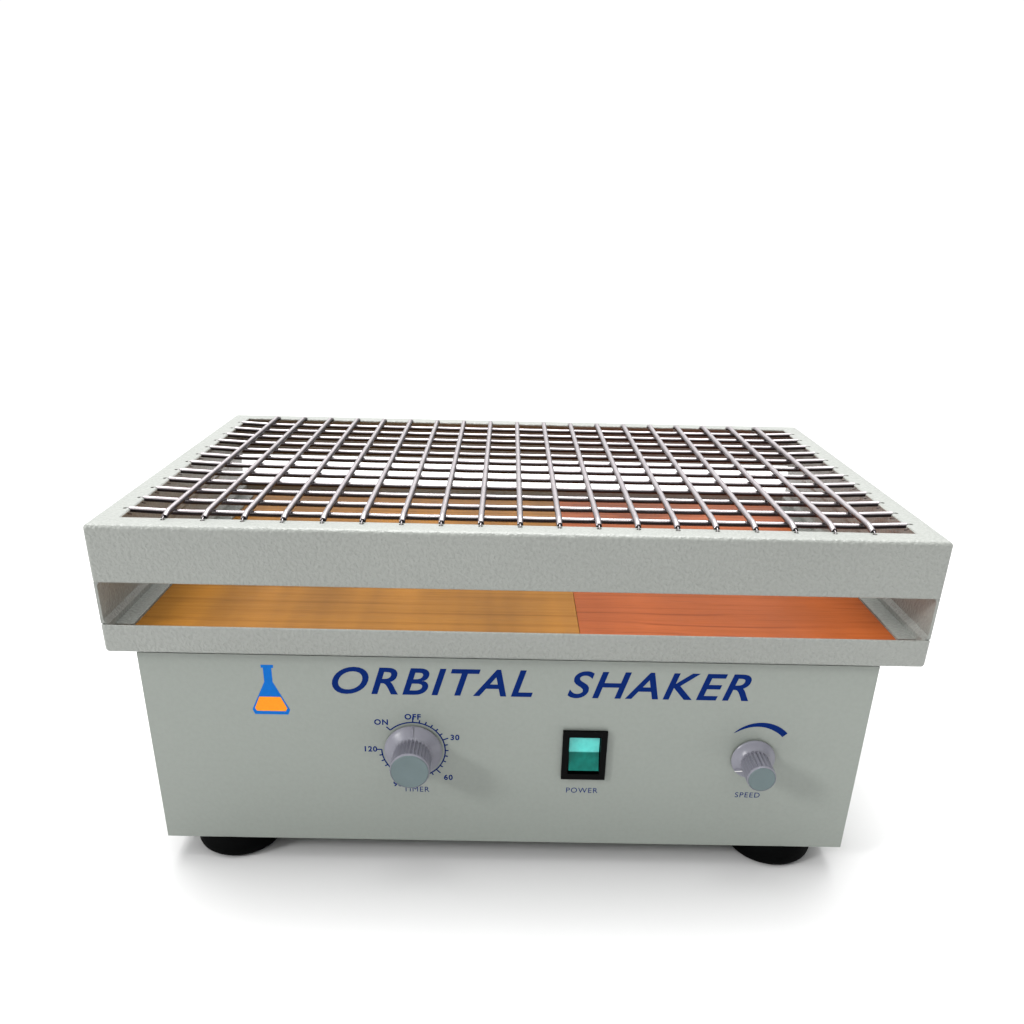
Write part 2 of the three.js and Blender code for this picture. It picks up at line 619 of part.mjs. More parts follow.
// ---------------------------------------------------------------- electricals
// A panel inlet with its recess facing +Y and a drawer for the fuse below it.
function mainsInlet() {
  const flange = box(-25, 25, 0, 2.5, -24, 24);
  const body = box(-14, 14, -28, 1, -22, 22);
  const recess = box(-12.2, 12.2, -16, 4, -1, 15.5);
  const drawerBay = box(-11.3, 11.3, -14, 4, -18.3, -5.7);
  const pins = [[0, 10.5], [-6.5, 4], [6.5, 4]].map(([x, z]) => box(x - 1, x + 1, -17, -4, z - 2, z + 2));
  const shell = toGeometry(solid(flange).add(solid(body)).subtract(solid(recess)).subtract(solid(drawerBay)));
  return shaped(shell, { add: pins });
}

const fuseDrawer = () => box(-11, 11, -13.7, 3.4, -18, -6);

function boardBracket() {
  const low = BASE_BOTTOM + SHEET + GAP;
  return shaped(box(-50, 50, 0, 2, low, low + 62), { add: [box(-50, 50, -18, 2, low, low + 2)] });
}

function boardHeatsink(low) {
  const fins = spread(6, 7).map((x) => box(x - 1, x + 1, -28, -10, low, low + 26));
  return shaped(box(-19, 19, -12, -8, low, low + 26), { add: fins });
}

function buildElectrics(base) {
  const inlet = new THREE.Group();
  inlet.position.set(INLET.x, REAR + GAP, INLET.z);
  base.add(inlet);
  place(inlet, 'mains_inlet', mainsInlet(), blackPlastic);
  place(inlet, 'fuse_drawer', fuseDrawer(), blackPlastic);

  const control = new THREE.Group();
  control.position.set(90, 60, 0);
  base.add(control);
  const boardLow = 24;
  place(control, 'board_bracket', boardBracket(), steel);
  place(control, 'control_board', box(-46, 46, -2, -GAP, boardLow, boardLow + 52), boardGreen);
  const heatsink = boardHeatsink(boardLow + 14).translate(-20, 5.7, 0);
  place(control, 'board_heatsink', heatsink, castAlloy);
  const capacitor = rod(10, 0, 30, 20).rotateX(Math.PI / 2).translate(26, -2 - GAP, boardLow + 26);
  place(control, 'board_capacitor', capacitor, blackPlastic);
}

function buildBase() {
  const base = new THREE.Group();
  base.position.set(BASE_X, BASE_Y, 0);
  place(base, 'base_case', baseCase(), paintBase);
  place(base, 'bottom_plate', bottomPlate(), paintBase);
  for (const [end, y] of [['front', -FOOT_Y], ['rear', FOOT_Y]]) {
    for (const [side, x] of [['left', -FOOT_X], ['right', FOOT_X]]) {
      place(base, `foot_${end}_${side}`, foot(), rubber).position.set(x, y, 0);
      place(base, `foot_screw_${end}_${side}`, footScrew(), steel).position.set(x, y, 0);
    }
  }
  buildMechanism(base);
  buildControls(base);
  buildElectrics(base);
  return base;
}

const shaker = new THREE.Group();
shaker.add(buildTray(), buildBase());

export default shaker;
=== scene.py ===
"""Looks of the orbital shaker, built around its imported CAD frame. Lengths are in metres."""
import json
import math

import bpy
import numpy as np
from mathutils import Euler, Matrix, Vector


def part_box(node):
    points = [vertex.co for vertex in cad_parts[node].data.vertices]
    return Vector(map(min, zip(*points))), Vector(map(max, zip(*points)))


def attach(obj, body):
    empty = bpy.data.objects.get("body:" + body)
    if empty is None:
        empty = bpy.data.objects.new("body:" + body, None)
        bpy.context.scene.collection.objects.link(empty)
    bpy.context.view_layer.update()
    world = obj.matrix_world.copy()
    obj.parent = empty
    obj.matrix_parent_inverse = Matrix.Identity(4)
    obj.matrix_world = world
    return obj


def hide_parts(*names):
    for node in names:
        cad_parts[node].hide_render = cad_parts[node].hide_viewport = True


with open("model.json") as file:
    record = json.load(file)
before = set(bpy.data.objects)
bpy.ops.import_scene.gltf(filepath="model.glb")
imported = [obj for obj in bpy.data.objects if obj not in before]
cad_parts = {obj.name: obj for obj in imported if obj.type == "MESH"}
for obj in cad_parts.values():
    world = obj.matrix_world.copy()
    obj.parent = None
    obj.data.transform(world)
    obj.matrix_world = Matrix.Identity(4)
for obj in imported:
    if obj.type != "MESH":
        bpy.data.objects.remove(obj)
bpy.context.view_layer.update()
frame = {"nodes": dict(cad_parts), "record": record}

MM = 0.001
SHEET = 1.5 * MM
FLANGE = 14 * MM
SPRING_PITCH = 20.33 * MM
LONG_SPRINGS = 19
CROSS_SPRINGS = 12
SPRING_RADIUS = 1.65 * MM
COIL_SIDES = 9
SPRING_OVERLAP = 0.3 * MM
HOOK_INSET = 3.0 * MM
HOOK_HOLE_RADIUS = 1.3 * MM
FOLD_RADIUS = 1.1 * MM
CORNER_RADIUS = 2.2 * MM
CORNER_STEPS = 5
HEM = 0.5 * MM
PRINT_THICKNESS = 0.06 * MM


# ---------------------------------------------------------------- small tools
def spread(count, pitch):
    """Evenly spaced positions, centred on zero."""
    return [(index - (count - 1) / 2) * pitch for index in range(count)]


def centre(node):
    """The middle of a CAD node's box."""
    low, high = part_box(node)
    return (low + high) / 2


def new_object(name, mesh, material, body, replaces=()):
    """A piece that rides on a body and the CAD nodes that it stands for."""
    piece = bpy.data.objects.new(name, mesh)
    bpy.context.scene.collection.objects.link(piece)
    piece.data.materials.clear()
    piece.data.materials.append(material)
    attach(piece, body)
    if replaces:
        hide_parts(*replaces)
    return piece


def mesh_from(name, vertices, faces, smooth=40.0):
    """A mesh whose edges stay sharp where its faces meet at more than `smooth` degrees."""
    mesh = bpy.data.meshes.new(name)
    mesh.from_pydata([tuple(v) for v in vertices], [], faces)
    mesh.validate()
    mesh.shade_smooth()
    mesh.set_sharp_from_angle(angle=math.radians(smooth))
    return mesh


def grid_faces(rows, around, closed_rows=False):
    """Quads between consecutive rings of `around` points each."""
    faces = []
    for row in range(rows if closed_rows else rows - 1):
        low, high = row * around, ((row + 1) % rows) * around
        for step in range(around):
            following = (step + 1) % around
            faces.append((low + step, low + following, high + following, high + step))
    return faces


def merged(parts):
    """One list of vertices and one of faces from several (vertices, faces) pairs."""
    vertices, faces = [], []
    for part_vertices, part_faces in parts:
        start = len(vertices)
        vertices.extend(part_vertices)
        faces.extend(tuple(start + index for index in face) for face in part_faces)
    return vertices, faces


def turned(profile, segments, matrix):
    """A solid of revolution about Z from [radius, height] points that start and end on the axis."""
    vertices, faces = [], []
    inner = profile[1:-1]
    for radius, height in inner:
        for step in range(segments):
            angle = 2 * math.pi * step / segments
            vertices.append((radius * math.cos(angle), radius * math.sin(angle), height))
    faces.extend(grid_faces(len(inner), segments))
    for point, row, flip in ((profile[0], 0, True), (profile[-1], len(inner) - 1, False)):
        tip = len(vertices)
        vertices.append((0, 0, point[1]))
        for step in range(segments):
            a, b = row * segments + step, row * segments + (step + 1) % segments
            faces.append((b, a, tip) if flip else (a, b, tip))
    return [matrix @ Vector(v) for v in vertices], faces


def tube(points, radius, sides):
    """A closed tube along points, with flat ends."""
    points = [Vector(p) for p in points]
    vertices, faces = [], []
    side = None
    for index, point in enumerate(points):
        ahead = points[min(index + 1, len(points) - 1)] - points[max(index - 1, 0)]
        ahead.normalize()
        if side is None:
            side = ahead.orthogonal().normalized()
        side = (side - ahead * side.dot(ahead)).normalized()
        other = ahead.cross(side)
        for step in range(sides):
            angle = 2 * math.pi * step / sides
            vertices.append(point + radius * (math.cos(angle) * side + math.sin(angle) * other))
    faces.extend(grid_faces(len(points), sides))
    faces.append(tuple(reversed(range(sides))))
    faces.append(tuple(range(len(vertices) - sides, len(vertices))))
    return vertices, faces


def rounded_loop(half_x, half_y, radius, z, steps):
    """The points of a rectangle with round corners, anticlockwise from above."""
    sharpest = 0.15 * MM
    radius = max(radius, sharpest)
    loop = []
    corners = ((1, -1, -90), (1, 1, 0), (-1, 1, 90), (-1, -1, 180))
    for sign_x, sign_y, start in corners:
        for step in range(steps + 1):
            angle = math.radians(start + 90 * step / steps)
            x = sign_x * (half_x - radius) + radius * math.cos(angle)
            y = sign_y * (half_y - radius) + radius * math.sin(angle)
            loop.append((x, y, z))
    return loop


def fold(centre_inset, centre_z, radius, start, end):
    """Points [inset, height] round a sheet-metal fold, angles in degrees from the outward side."""
    steps = 4
    points = []
    for step in range(steps + 1):
        angle = math.radians(start + (end - start) * step / steps)
        points.append((centre_inset - radius * math.cos(angle),
                       centre_z + radius * math.sin(angle)))
    return points


def folded_sheet(half_x, half_y, profile, origin):
    """A closed ring of sheet metal. Its profile is a list of (inset from the outside, height)."""
    vertices = []
    for inset, z in profile:
        loop = rounded_loop(half_x - inset, half_y - inset, CORNER_RADIUS - inset, z, CORNER_STEPS)
        vertices.extend(Vector(point) + origin for point in loop)
    around = 4 * (CORNER_STEPS + 1)
    return vertices, grid_faces(len(profile), around, closed_rows=True)


def bevel(piece, width):
    """Eases the sharp edges of a piece."""
    modifier = piece.modifiers.new("edges", "BEVEL")
    modifier.width = width
    modifier.segments = 2
    modifier.limit_method = "ANGLE"
    modifier.angle_limit = math.radians(35)
    modifier.harden_normals = False


def evaluated_mesh(piece):
    """The mesh that an object comes to, with its modifiers or its font curve worked out."""
    bpy.context.view_layer.update()
    evaluated = piece.evaluated_get(bpy.context.evaluated_depsgraph_get())
    return bpy.data.meshes.new_from_object(evaluated)


def cut_away(piece, cutter_parts):
    """Cuts closed shapes out of a piece and keeps the result in its mesh."""
    vertices, faces = merged(cutter_parts)
    cutter = bpy.data.objects.new("cutter", mesh_from("cutter", vertices, faces))
    bpy.context.scene.collection.objects.link(cutter)
    modifier = piece.modifiers.new("holes", "BOOLEAN")
    modifier.object = cutter
    modifier.solver = "EXACT"
    result = evaluated_mesh(piece)
    piece.modifiers.clear()
    piece.data = result
    bpy.data.objects.remove(cutter)
    piece.data.set_sharp_from_angle(angle=math.radians(40))


# ------------------------------------------------------------------- materials
class Shader:
    """A Principled material and the few node patterns that the finishes are made of."""

    def __init__(self, name, colour, roughness, metallic=0.0, **sockets):
        self.material = bpy.data.materials.new(name)
        self.material.use_nodes = True
        self.tree = self.material.node_tree
        self.surface = self.tree.nodes["Principled BSDF"]
        self.set("Base Color", (*colour, 1))
        self.set("Roughness", roughness)
        self.set("Metallic", metallic)
        for socket, value in sockets.items():
            self.set(socket.replace("_", " "), value)
        self.place = self.node("ShaderNodeTexCoord").outputs["Object"]

    def node(self, kind, **settings):
        node = self.tree.nodes.new(kind)
        for key, value in settings.items():
            setattr(node, key, value)
        return node

    def link(self, source, target):
        self.tree.links.new(source, target)

    def set(self, socket, value):
        self.surface.inputs[socket].default_value = value

    def drive(self, socket, source):
        self.link(source, self.surface.inputs[socket])

    def stretched(self, scale):
        mapping = self.node("ShaderNodeMapping")
        mapping.inputs["Scale"].default_value = scale
        self.link(self.place, mapping.inputs["Vector"])
        return mapping.outputs["Vector"]

    def noise(self, scale, detail=2.0, roughness=0.5, vector=None, distortion=0.0):
        node = self.node("ShaderNodeTexNoise")
        node.inputs["Scale"].default_value = scale
        node.inputs["Detail"].default_value = detail
        node.inputs["Roughness"].default_value = roughness
        node.inputs["Distortion"].default_value = distortion
        self.link(vector or self.place, node.inputs["Vector"])
        return node.outputs["Fac"]

    def ramp(self, source, stops):
        """A colour ramp from (position, colour) stops. A colour is a tuple or one grey value."""
        node = self.node("ShaderNodeValToRGB")
        elements = node.color_ramp.elements
        while len(elements) < len(stops):
            elements.new(0.5)
        for element, (position, colour) in zip(elements, stops):
            element.position = position
            value = colour if isinstance(colour, tuple) else (colour,) * 3
            element.color = (*value, 1)
        self.link(source, node.inputs["Fac"])
        return node.outputs["Color"]

    def mix(self, first, second, amount, blend="MIX"):
        node = self.node("ShaderNodeMix", data_type="RGBA", blend_type=blend)
        for key, value in (("Factor", amount), ("A", first), ("B", second)):
            socket = [s for s in node.inputs if s.name == key and s.type in ("VALUE", "RGBA")]
            socket = socket[0] if key == "Factor" else socket[-1]
            if isinstance(value, bpy.types.NodeSocket):
                self.link(value, socket)
            else:
                socket.default_value = value
        return [s for s in node.outputs if s.type == "RGBA"][0]

    def bump(self, source, strength, distance):
        node = self.node("ShaderNodeBump")
        node.inputs["Strength"].default_value = strength
        node.inputs["Distance"].default_value = distance
        self.link(source, node.inputs["Height"])
        self.drive("Normal", node.outputs["Normal"])


def tinted(colour, factor):
    """A colour made lighter or darker by a factor."""
    return tuple(min(1.0, channel * factor) for channel in colour)


def textured_paint(name, colour, grain, depth, roughness=0.42, contrast=1.0):
    """Powder coat: a pebbled surface whose hollows are painted slightly darker as shade, with faint
    large clouds.
    """
    paint = Shader(name, colour, roughness, Coat_Weight=0.15, Coat_Roughness=0.25)
    pebbles = paint.noise(grain, 1.0, 0.45, distortion=0.3)
    clouds = paint.noise(9.0, 3.0, 0.6)
    cloud = 0.02 * contrast
    base = paint.ramp(clouds, [(0.35, tinted(colour, 1 - cloud)),
                               (0.65, tinted(colour, 1 + cloud))])
    # Painted shade: the hollows of the pebbles are darker.
    shade = paint.ramp(pebbles, [(0.3, 1 - 0.1 * contrast), (0.7, 1.0)])
    paint.drive("Base Color", paint.mix(base, shade, 1.0, "MULTIPLY"))
    gloss = paint.ramp(pebbles, [(0.3, roughness + 0.08), (0.7, roughness - 0.06)])
    paint.drive("Roughness", gloss)
    paint.bump(pebbles, 0.8, depth)
    return paint.material


def metal(name, colour, roughness, grain=(900, 900, 40), depth=0.02 * MM):
    """Bright metal with fine drawn or turned marks and dull patches."""
    bright = Shader(name, colour, roughness, 1.0)
    marks = bright.noise(1.0, 3.0, 0.6, bright.stretched(grain))
    patches = bright.noise(60.0, 3.0, 0.6)
    tone = bright.ramp(patches, [(0.3, tinted(colour, 0.86)), (0.7, tinted(colour, 1.08))])
    shade = bright.ramp(marks, [(0.3, 0.9), (0.7, 1.05)])
    bright.drive("Base Color", bright.mix(tone, shade, 1.0, "MULTIPLY"))
    gloss = bright.ramp(patches, [(0.3, roughness + 0.1), (0.7, roughness - 0.05)])
    bright.drive("Roughness", gloss)
    bright.bump(marks, 0.4, depth)
    return bright.material


def plastic(name, colour, roughness, grain=1400.0, depth=0.03 * MM, **sockets):
    """Moulded plastic: a fine spark-eroded texture with slightly uneven gloss."""
    moulded = Shader(name, colour, roughness, **sockets)
    texture = moulded.noise(grain, 2.0, 0.5)
    wear = moulded.noise(70.0, 4.0, 0.6)
    tone = moulded.ramp(wear, [(0.3, tinted(colour, 0.93)), (0.75, tinted(colour, 1.07))])
    moulded.drive("Base Color", tone)
    gloss = moulded.ramp(wear, [(0.3, roughness + 0.06), (0.7, roughness - 0.05)])
    moulded.drive("Roughness", gloss)
    moulded.bump(texture, 0.35, depth)
    return moulded.material


def wood(name, dark, light, figure, bands):
    """Lacquered board with its grain along X: growth rings, fine pores and broad cross bands."""
    board = Shader(name, light, 0.42, Specular_IOR_Level=0.15)
    waves = board.noise(3.0, 2.0, 0.5, board.stretched((1.6, 9.0, 9.0)))
    bend = board.node("ShaderNodeVectorMath", operation="SCALE")
    board.link(waves, bend.inputs[0])
    bend.inputs["Scale"].default_value = figure
    bent = board.node("ShaderNodeVectorMath", operation="ADD")
    board.link(board.stretched((3.5, 230.0, 60.0)), bent.inputs[0])
    board.link(bend.outputs["Vector"], bent.inputs[1])
    rings = board.noise(1.0, 3.0, 0.6, bent.outputs["Vector"])
    pores = board.noise(1.0, 2.0, 0.7, board.stretched((70.0, 2600.0, 900.0)))
    sheen = board.noise(1.0, 2.0, 0.5, board.stretched((bands, 4.0, 4.0)))
    body = board.ramp(rings, [(0.28, tinted(dark, 1.12)), (0.48, light),
                              (0.64, tinted(light, 1.08)), (0.76, tinted(dark, 1.2))])
    body = board.mix(body, board.ramp(sheen, [(0.32, 0.76), (0.68, 1.16)]), 1.0, "MULTIPLY")
    body = board.mix(body, board.ramp(pores, [(0.36, 0.7), (0.5, 1.0)]), 0.7, "MULTIPLY")
    board.drive("Base Color", body)
    board.drive("Roughness", board.ramp(rings, [(0.3, 0.46), (0.7, 0.32)]))
    board.bump(pores, 0.3, 0.05 * MM)
    return board.material


def spring_wire():
    """Bright wire with painted shade on its right and lower sides."""
    wire = Shader("spring_wire", (0.53, 0.49, 0.50), 0.3, 1.0)
    tarnish = wire.noise(45.0, 4.0, 0.6)
    bright = wire.ramp(tarnish, [(0.3, (0.35, 0.32, 0.333)), (0.7, (0.46, 0.43, 0.44))])
    # Painted shade: the base colour is darker where the wire's surface turns away from the upper
    # left.
    facing = wire.node("ShaderNodeVectorMath", operation="DOT_PRODUCT")
    wire.link(wire.node("ShaderNodeNewGeometry").outputs["Normal"], facing.inputs[0])
    facing.inputs[1].default_value = (-0.45, 0.0, 0.9)
    painted_side_shade = wire.ramp(facing.outputs["Value"],
                      [(0.08, (0.11, 0.10, 0.105)), (0.5, (1.0, 1.0, 1.0))])
    wire.drive("Base Color", wire.mix(bright, painted_side_shade, 1.0, "MULTIPLY"))
    wire.drive("Roughness", wire.ramp(tarnish, [(0.3, 0.4), (0.7, 0.28)]))
    wire.bump(wire.noise(2200.0, 2.0, 0.5), 0.2, 0.01 * MM)
    return wire.material


def rocker_plastic():
    """Green lens: its upper half has a painted highlight and a faint painted glow, the lower half
    stays deep green.
    """
    valley = centre("power_rocker").z
    lens = Shader("rocker_green", (0.01, 0.3, 0.24), 0.14, IOR=1.49, Coat_Weight=0.3,
                  Coat_Roughness=0.05)
    mottled = lens.noise(260.0, 2.0, 0.5)
    axes = lens.node("ShaderNodeSeparateXYZ")
    lens.link(lens.place, axes.inputs["Vector"])
    upper = lens.node("ShaderNodeMapRange")
    upper.inputs["From Min"].default_value = valley - 0.6 * MM
    upper.inputs["From Max"].default_value = valley + 0.2 * MM
    lens.link(axes.outputs["Z"], upper.inputs["Value"])
    # Painted highlight: the colour above the rocker's valley is lighter than below it.
    glass = lens.ramp(mottled, [(0.3, (0.002, 0.12, 0.095)), (0.7, (0.003, 0.17, 0.135))])
    painted_highlight = lens.ramp(mottled, [(0.3, (0.05, 0.46, 0.42)), (0.7, (0.07, 0.56, 0.51))])
    lens.drive("Base Color", lens.mix(glass, painted_highlight, upper.outputs["Result"]))
    # Painted glow: the upper half gives off a faint light of its own.
    lens.set("Emission Color", (0.03, 0.5, 0.45, 1))
    painted_glow = lens.node("ShaderNodeMath", operation="MULTIPLY")
    lens.link(upper.outputs["Result"], painted_glow.inputs[0])
    painted_glow.inputs[1].default_value = 0.12
    lens.drive("Emission Strength", painted_glow.outputs["Value"])
    lens.bump(mottled, 0.1, 0.05 * MM)
    return lens.material


def circuit_board():
    """Green solder mask over a net of copper tracks."""
    mask = Shader("solder_mask", (0.02, 0.12, 0.05), 0.35, Coat_Weight=0.5)
    lines = mask.node("ShaderNodeTexBrick")
    lines.inputs["Scale"].default_value = 120.0
    lines.inputs["Color1"].default_value = (0.02, 0.13, 0.05, 1)
    lines.inputs["Color2"].default_value = (0.03, 0.17, 0.07, 1)
    lines.inputs["Mortar"].default_value = (0.05, 0.25, 0.1, 1)
    turn = mask.node("ShaderNodeMapping")
    turn.inputs["Rotation"].default_value = (math.radians(90), 0, 0)
    mask.link(mask.place, turn.inputs["Vector"])
    mask.link(turn.outputs["Vector"], lines.inputs["Vector"])
    mask.drive("Base Color", lines.outputs["Color"])
    mask.bump(lines.outputs["Fac"], 0.3, 0.05 * MM)
    return mask.material


def ink(name, colour):
    """Screen-printed ink, a little uneven where the paint below it is pebbled."""
    printed = Shader(name, colour, 0.5, Specular_IOR_Level=0.05)
    grain = printed.noise(600.0, 2.0, 0.6)
    tone = printed.ramp(grain, [(0.3, tinted(colour, 0.95)), (0.7, tinted(colour, 1.05))])
    printed.drive("Base Color", tone)
    return printed.material


tray_paint = textured_paint("tray_powder_coat", (0.26, 0.272, 0.252), 560.0, 0.85 * MM, 0.4)
cabinet_paint = textured_paint("cabinet_enamel", (0.243, 0.266, 0.240), 380.0, 0.12 * MM, 0.38,
                               contrast=0.35)
oak = wood("oak_board", (0.185, 0.073, 0.0055), (0.285, 0.117, 0.011), 0.6, 40.0)
red_oak = wood("red_board", (0.155, 0.028, 0.004), (0.315, 0.070, 0.011), 5.0, 12.0)
spring_steel = spring_wire()
turned_steel = metal("turned_steel", (0.56, 0.57, 0.58), 0.28)
zinc = metal("zinc_plate", (0.50, 0.51, 0.50), 0.42, (60, 60, 60))
alloy = metal("cast_alloy", (0.50, 0.51, 0.52), 0.45, (300, 300, 300), 0.05 * MM)
rubber = plastic("foot_rubber", (0.0008, 0.001, 0.001), 0.65, 700.0, 0.06 * MM,
                 Specular_IOR_Level=0.04)
belt_rubber = plastic("belt_rubber", (0.018, 0.018, 0.018), 0.7, 500.0, 0.1 * MM)
motor_paint = textured_paint("motor_paint", (0.02, 0.02, 0.022), 500.0, 0.08 * MM)
black_plastic = plastic("black_plastic", (0.001, 0.0012, 0.0012), 0.42, Specular_IOR_Level=0.05)
grey_plastic = plastic("grey_plastic", (0.20, 0.20, 0.235), 0.32)
cap_plastic = plastic("cap_plastic", (0.10, 0.14, 0.145), 0.45)
green_lens = rocker_plastic()
solder_mask = circuit_board()
blue_ink = ink("blue_ink", (0.0, 0.015, 0.12))
sky_ink = ink("sky_ink", (0.005, 0.13, 0.48))
orange_ink = ink("orange_ink", (0.85, 0.28, 0.02))
white_ink = ink("white_ink", (0.8, 0.8, 0.8))

# The material of each slot that the record names.
SLOT_MATERIALS = {
    "tray_paint": tray_paint,
    "cabinet_paint": cabinet_paint,
    "spring_steel": spring_steel,
    "oak_board": oak,
    "red_board": red_oak,
    "foot_rubber": rubber,
    "bright_steel": turned_steel,
    "zinc_plate": zinc,
    "cast_alloy": alloy,
    "motor_paint": motor_paint,
    "belt_rubber": belt_rubber,
    "black_plastic": black_plastic,
    "green_plastic": green_lens,
    "grey_plastic": grey_plastic,
    "cap_plastic": cap_plastic,
    "circuit_board": solder_mask,
}
PLAIN_EDGE = 0.25 * MM
EDGE_WIDTHS = {
    "base_case": 0.55 * MM,
    "bottom_plate": 0.3 * MM,
    "side_plate_left": 0.4 * MM,
    "side_plate_right": 0.4 * MM,
    "board_left": 0.7 * MM,
    "board_right": 0.7 * MM,
    "switch_body": 0.45 * MM,
    "power_rocker": 0.5 * MM,
    "mains_inlet": 0.5 * MM,
    "fuse_drawer": 0.4 * MM,
}


def finish_cad_nodes():
    """Gives every CAD node its material and eased edges."""
    for entry in frame["record"]["subparts"]:
        node = frame["nodes"][entry["node"]]
        material = SLOT_MATERIALS[entry["material_slot"]]
        node.data.materials.clear()
        node.data.materials.append(material)
        node.data.shade_smooth()
        node.data.set_sharp_from_angle(angle=math.radians(32))
        bevel(node, EDGE_WIDTHS.get(entry["node"], PLAIN_EDGE))


# ------------------------------------------------------------------------ tray
# The tray's sizes from its CAD box. The open space inside the rim's flange is 2 open_x by 2 open_y.
tray_low, tray_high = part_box("grid_frame")
tray_middle = (tray_low + tray_high) / 2
rim_top = tray_high.z
half_x = (tray_high.x - tray_low.x) / 2
half_y = (tray_high.y - tray_low.y) / 2
open_x = half_x - FLANGE
open_y = half_y - FLANGE
tray_origin = Vector((tray_middle.x, tray_middle.y, 0))


def grid_frame_shell():
    """Rim and skirt folded from one sheet, with a round fold, a safe hem and the hook holes."""
    outer, inner = FOLD_RADIUS + SHEET, FOLD_RADIUS
    profile = [(0, tray_low.z + HEM), (0, rim_top - outer)]
    profile += fold(outer, rim_top - outer, outer, 10, 90)
    profile += [(FLANGE - HEM, rim_top), (FLANGE, rim_top - HEM), (FLANGE, rim_top - SHEET + HEM)]
    profile += [(FLANGE - HEM, rim_top - SHEET)]
    profile += fold(SHEET + inner, rim_top - SHEET - inner, inner, 90, 10)
    profile += [(SHEET, tray_low.z + HEM), (SHEET - HEM, tray_low.z), (HEM, tray_low.z)]
    vertices, faces = folded_sheet(half_x, half_y, profile, tray_origin)
    mesh = mesh_from("grid_frame_shell", vertices, faces)
    shell = new_object("grid_frame_shell", mesh, tray_paint, "tray", ["grid_frame"])
    bottom, top = -3 * MM, 2 * MM
    drill = [(0, bottom), (HOOK_HOLE_RADIUS, bottom), (HOOK_HOLE_RADIUS, top), (0, top)]
    places = [Matrix.Translation((x, y, rim_top)) for x, y in hook_holes()]
    cut_away(shell, [turned(drill, 14, place) for place in places])


def hook_holes():
    """The middle of each hole in the rim that a spring's hook goes through."""
    for side in (-1, 1):
        for x in spread(LONG_SPRINGS, SPRING_PITCH):
            yield tray_middle.x + x, tray_middle.y + side * (open_y + HOOK_INSET)
        for y in spread(CROSS_SPRINGS, SPRING_PITCH):
            yield tray_middle.x + side * (open_x + HOOK_INSET), tray_middle.y + y


def tray_pan_shell():
    """The pan with its folded lip; the floor closes it underneath."""
    low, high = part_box("tray_pan")
    inner = 0.9 * MM
    outer = inner + SHEET
    near_fold, on_floor = 6 * MM, 30 * MM
    profile = [(on_floor, low.z), (near_fold, low.z)] + fold(outer, low.z + outer, outer, -90, -10)
    profile += [(0, high.z - HEM), (HEM, high.z), (SHEET - HEM, high.z), (SHEET, high.z - HEM)]
    profile += fold(SHEET + inner, low.z + SHEET + inner, inner, 0, -90)
    profile += [(near_fold, low.z + SHEET), (on_floor, low.z + SHEET)]
    vertices, faces = folded_sheet(half_x, half_y, profile, tray_origin)
    around = 4 * (CORNER_STEPS + 1)
    faces = faces[: (len(profile) - 1) * around]
    faces.append(tuple(reversed(range(around))))
    faces.append(tuple(range(len(vertices) - around, len(vertices))))
    mesh = mesh_from("tray_pan_shell", vertices, faces)
    new_object("tray_pan_shell", mesh, tray_paint, "tray", ["tray_pan"])


def coil(length, along, across, height_at):
    """A close-wound coil from -length/2 to length/2. height_at gives the height of its axis."""
    turn = 0.8 * MM
    samples = 3
    groove = 0.2 * MM
    count = int(length / turn * samples)
    step = np.arange(count + 1)
    side = np.arange(COIL_SIDES)
    phase = (step[:, None] / samples - side[None, :] / COIL_SIDES) % 1.0
    radius = SPRING_RADIUS - groove * (1 - np.sin(np.pi * phase)) ** 2
    angle = 2 * math.pi * side / COIL_SIDES
    travel = (step / count - 0.5) * length
    heights = np.array([height_at(t) for t in travel])
    up = np.array((0.0, 0.0, 1.0))
    points = (travel[:, None, None] * np.array(along) + heights[:, None, None] * up
              + (radius * np.cos(angle))[:, :, None] * np.array(across)
              + (radius * np.sin(angle))[:, :, None] * up)
    vertices = points.reshape(-1, 3)
    faces = grid_faces(count + 1, COIL_SIDES)
    if np.dot(np.cross(across, up), along) < 0:
        faces = [tuple(reversed(face)) for face in faces]
    return [Vector(v) for v in vertices], faces


def coil_mouths(vertices, faces, along, flip):
    """Closes both ends of a coil with a cup, so that its open bore shows."""
    sides = COIL_SIDES
    depth = 2.5 * MM
    bore_share = 0.55
    for first, direction in ((0, 1), (len(vertices) - sides, -1)):
        reverse = (direction > 0) == flip
        inward = Vector(along) * direction * depth
        ring = [vertices[first + step] for step in range(sides)]
        middle = sum(ring, Vector()) / sides
        lip = [middle + (point - middle) * bore_share for point in ring]
        inner = len(vertices)
        deep = inner + sides
        vertices.extend(lip)
        vertices.extend(point + inward for point in lip)
        for step in range(sides):
            following = (step + 1) % sides
            quads = [(first + step, inner + step, inner + following, first + following),
                     (inner + step, deep + step, deep + following, inner + following)]
            faces.extend(tuple(reversed(quad)) if reverse else quad for quad in quads)
        bottom = tuple(deep + step for step in range(sides))
        faces.append(bottom if reverse else tuple(reversed(bottom)))


def hook(end, outward):
    """The end loop of a spring: over the rim, down through its hole and back under the sheet."""
    wire_radius = 0.27 * MM
    reach = HOOK_INSET - SPRING_OVERLAP
    rise = 1.7 * MM
    steps = 10
    out = Vector(outward)
    up = Vector((0, 0, 1))
    middle = end + out * 0.2 * MM - up * 0.9 * MM
    route = [end - out * 1.2 * MM + up * 0.5 * MM, end - out * 0.2 * MM + up * 0.6 * MM]
    for step in range(steps + 1):
        angle = math.radians(90 - 190 * step / steps)
        route.append(middle + out * reach * math.cos(angle) + up * rise * math.sin(angle))
    return tube(route, wire_radius, 7)


